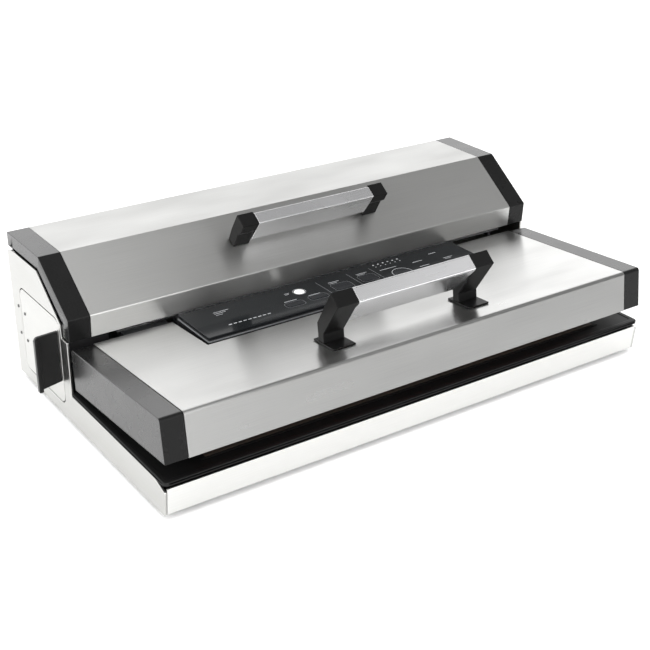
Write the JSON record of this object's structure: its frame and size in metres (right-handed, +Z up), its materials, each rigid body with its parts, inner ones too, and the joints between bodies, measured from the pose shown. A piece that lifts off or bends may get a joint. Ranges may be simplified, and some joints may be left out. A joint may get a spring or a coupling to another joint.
{
  "type": "vacuum sealer",
  "caption": "Countertop vacuum sealer with a front sealing lid beside a fixed control panel, a rear lid over a bag roll store with cutter, and a side door.",
  "frame": {"origin": "on the surface that the feet stand on, below the middle of the overall box (the side door's grip is part of that box)", "axes": "+X to the right as the user sees it, -Y towards the user, +Z up"},
  "size_m": [0.5194, 0.2831, 0.1518],
  "materials": {
    "base_steel": "satin steel sheet, almost white in the light",
    "lid_steel": "steel sheet brushed along its width",
    "door_steel": "satin steel sheet",
    "cap_plastic": "satin black moulding with a fine grain",
    "bracket_plastic": "satin black moulding",
    "grip_plastic": "satin black moulding",
    "tray_plastic": "black moulding, half matt",
    "liner_plastic": "black moulding, half matt",
    "trough_plastic": "black moulding, half matt",
    "housing_plastic": "black moulding",
    "panel_gloss": "glossy black front plate with fine printed lines",
    "key_gloss": "glossy black key with a printed outline",
    "key_white": "white key",
    "foot_rubber": "matt black rubber",
    "gasket_foam": "closed-cell foam",
    "heater_tape": "brown non-stick glass cloth over the heating strip",
    "silicone": "red silicone strip",
    "handle_aluminium": "satin aluminium, brushed along its length",
    "rail_aluminium": "satin aluminium extrusion",
    "hinge_steel": "zinc plated steel",
    "blade_steel": "ground blade steel",
    "cutter_plastic": "black moulded slider",
    "board_green": "green circuit board",
    "pump_metal": "grey cast pump with a steel motor can",
    "transformer_core": "laminated core with a copper winding",
    "valve_white": "white moulding",
    "hose_clear": "milky silicone hose",
    "inlet_plastic": "black moulding"
  },
  "bodies": {
    "base": {"base_pan": "base_steel", "side_plate_left": "base_steel", "side_plate_right": "base_steel", "foot_rear_left": "foot_rubber", "foot_rear_right": "foot_rubber", "foot_front_left": "foot_rubber", "foot_front_right": "foot_rubber", "chamber_tray": "tray_plastic", "lower_gasket": "gasket_foam", "heater_bar": "tray_plastic", "heating_strip": "heater_tape", "roll_trough": "trough_plastic", "cutter_rail": "rail_aluminium", "control_housing": "housing_plastic", "panel_overlay": "panel_gloss", "control_board": "board_green", "power_board": "board_green", "transformer": "transformer_core", "vacuum_pump_left": "pump_metal", "vacuum_pump_right": "pump_metal", "release_valve": "valve_white", "vacuum_hose": "hose_clear", "mains_inlet": "inlet_plastic", "cord_store": "trough_plastic", "rear_hinge_bracket_left": "hinge_steel", "rear_hinge_bracket_right": "hinge_steel", "rear_hinge_pin_left": "hinge_steel", "rear_hinge_pin_right": "hinge_steel", "front_hinge_bracket_left": "hinge_steel", "front_hinge_bracket_right": "hinge_steel", "front_hinge_pin_left": "hinge_steel", "front_hinge_pin_right": "hinge_steel"},
    "front_lid": {"front_lid_cover": "lid_steel", "front_lid_cap_left": "cap_plastic", "front_lid_cap_right": "cap_plastic", "front_lid_liner": "liner_plastic", "upper_gasket": "gasket_foam", "pressure_strip": "silicone", "front_lid_knuckle_left": "hinge_steel", "front_lid_knuckle_right": "hinge_steel", "front_bracket_left": "bracket_plastic", "front_bracket_right": "bracket_plastic", "front_grip": "handle_aluminium"},
    "rear_lid": {"rear_lid_cover": "lid_steel", "rear_lid_cap_left": "cap_plastic", "rear_lid_cap_right": "cap_plastic", "rear_lid_liner": "liner_plastic", "rear_bracket_left": "bracket_plastic", "rear_bracket_right": "bracket_plastic", "rear_grip": "handle_aluminium"},
    "side_door": {"side_door": "door_steel", "side_door_grip": "grip_plastic"},
    "cutter": {"cutter_slider": "cutter_plastic", "cutter_blade": "blade_steel"},
    "start_key": {"start_key": "key_white"},
    "program_key": {"program_key": "key_gloss"},
    "seal_key": {"seal_key": "key_gloss"},
    "vacuum_key": {"vacuum_key": "key_gloss"},
    "pulse_key": {"pulse_key": "key_gloss"},
    "mode_key": {"mode_key": "key_gloss"}
  },
  "joints": [
    {"name": "front_lid_hinge", "type": "hinge", "parent": "base", "child": "front_lid", "pos_m": [0.0104, 0.01605, 0.071], "axis": [-1, 0, 0], "range_deg": [-3.8, 66]},
    {"name": "rear_lid_hinge", "type": "hinge", "parent": "base", "child": "rear_lid", "pos_m": [0.0104, 0.13655, 0.132], "axis": [-1, 0, 0], "range_deg": [0, 85]},
    {"name": "side_door_hinge", "type": "hinge", "parent": "base", "child": "side_door", "pos_m": [-0.2388, 0.12045, 0.056], "axis": [0, 0, -1], "range_deg": [0, 100]},
    {"name": "cutter_slide", "type": "slide", "parent": "base", "child": "cutter", "axis": [1, 0, 0], "range_m": [0, 0.384]},
    {"name": "start_key_press", "type": "slide", "parent": "base", "child": "start_key", "axis": [0, 0, -1], "range_m": [0, 0.0006], "stiffness_N_per_m": 400, "springref_m": -0.001},
    {"name": "program_key_press", "type": "slide", "parent": "base", "child": "program_key", "axis": [0, 0, -1], "range_m": [0, 0.0006], "stiffness_N_per_m": 400, "springref_m": -0.001},
    {"name": "seal_key_press", "type": "slide", "parent": "base", "child": "seal_key", "axis": [0, 0, -1], "range_m": [0, 0.0006], "stiffness_N_per_m": 400, "springref_m": -0.001},
    {"name": "vacuum_key_press", "type": "slide", "parent": "base", "child": "vacuum_key", "axis": [0, 0, -1], "range_m": [0, 0.0006], "stiffness_N_per_m": 400, "springref_m": -0.001},
    {"name": "pulse_key_press", "type": "slide", "parent": "base", "child": "pulse_key", "axis": [0, 0, -1], "range_m": [0, 0.0006], "stiffness_N_per_m": 400, "springref_m": -0.001},
    {"name": "mode_key_press", "type": "slide", "parent": "base", "child": "mode_key", "axis": [0, 0, -1], "range_m": [0, 0.0006], "stiffness_N_per_m": 400, "springref_m": -0.001}
  ]
}
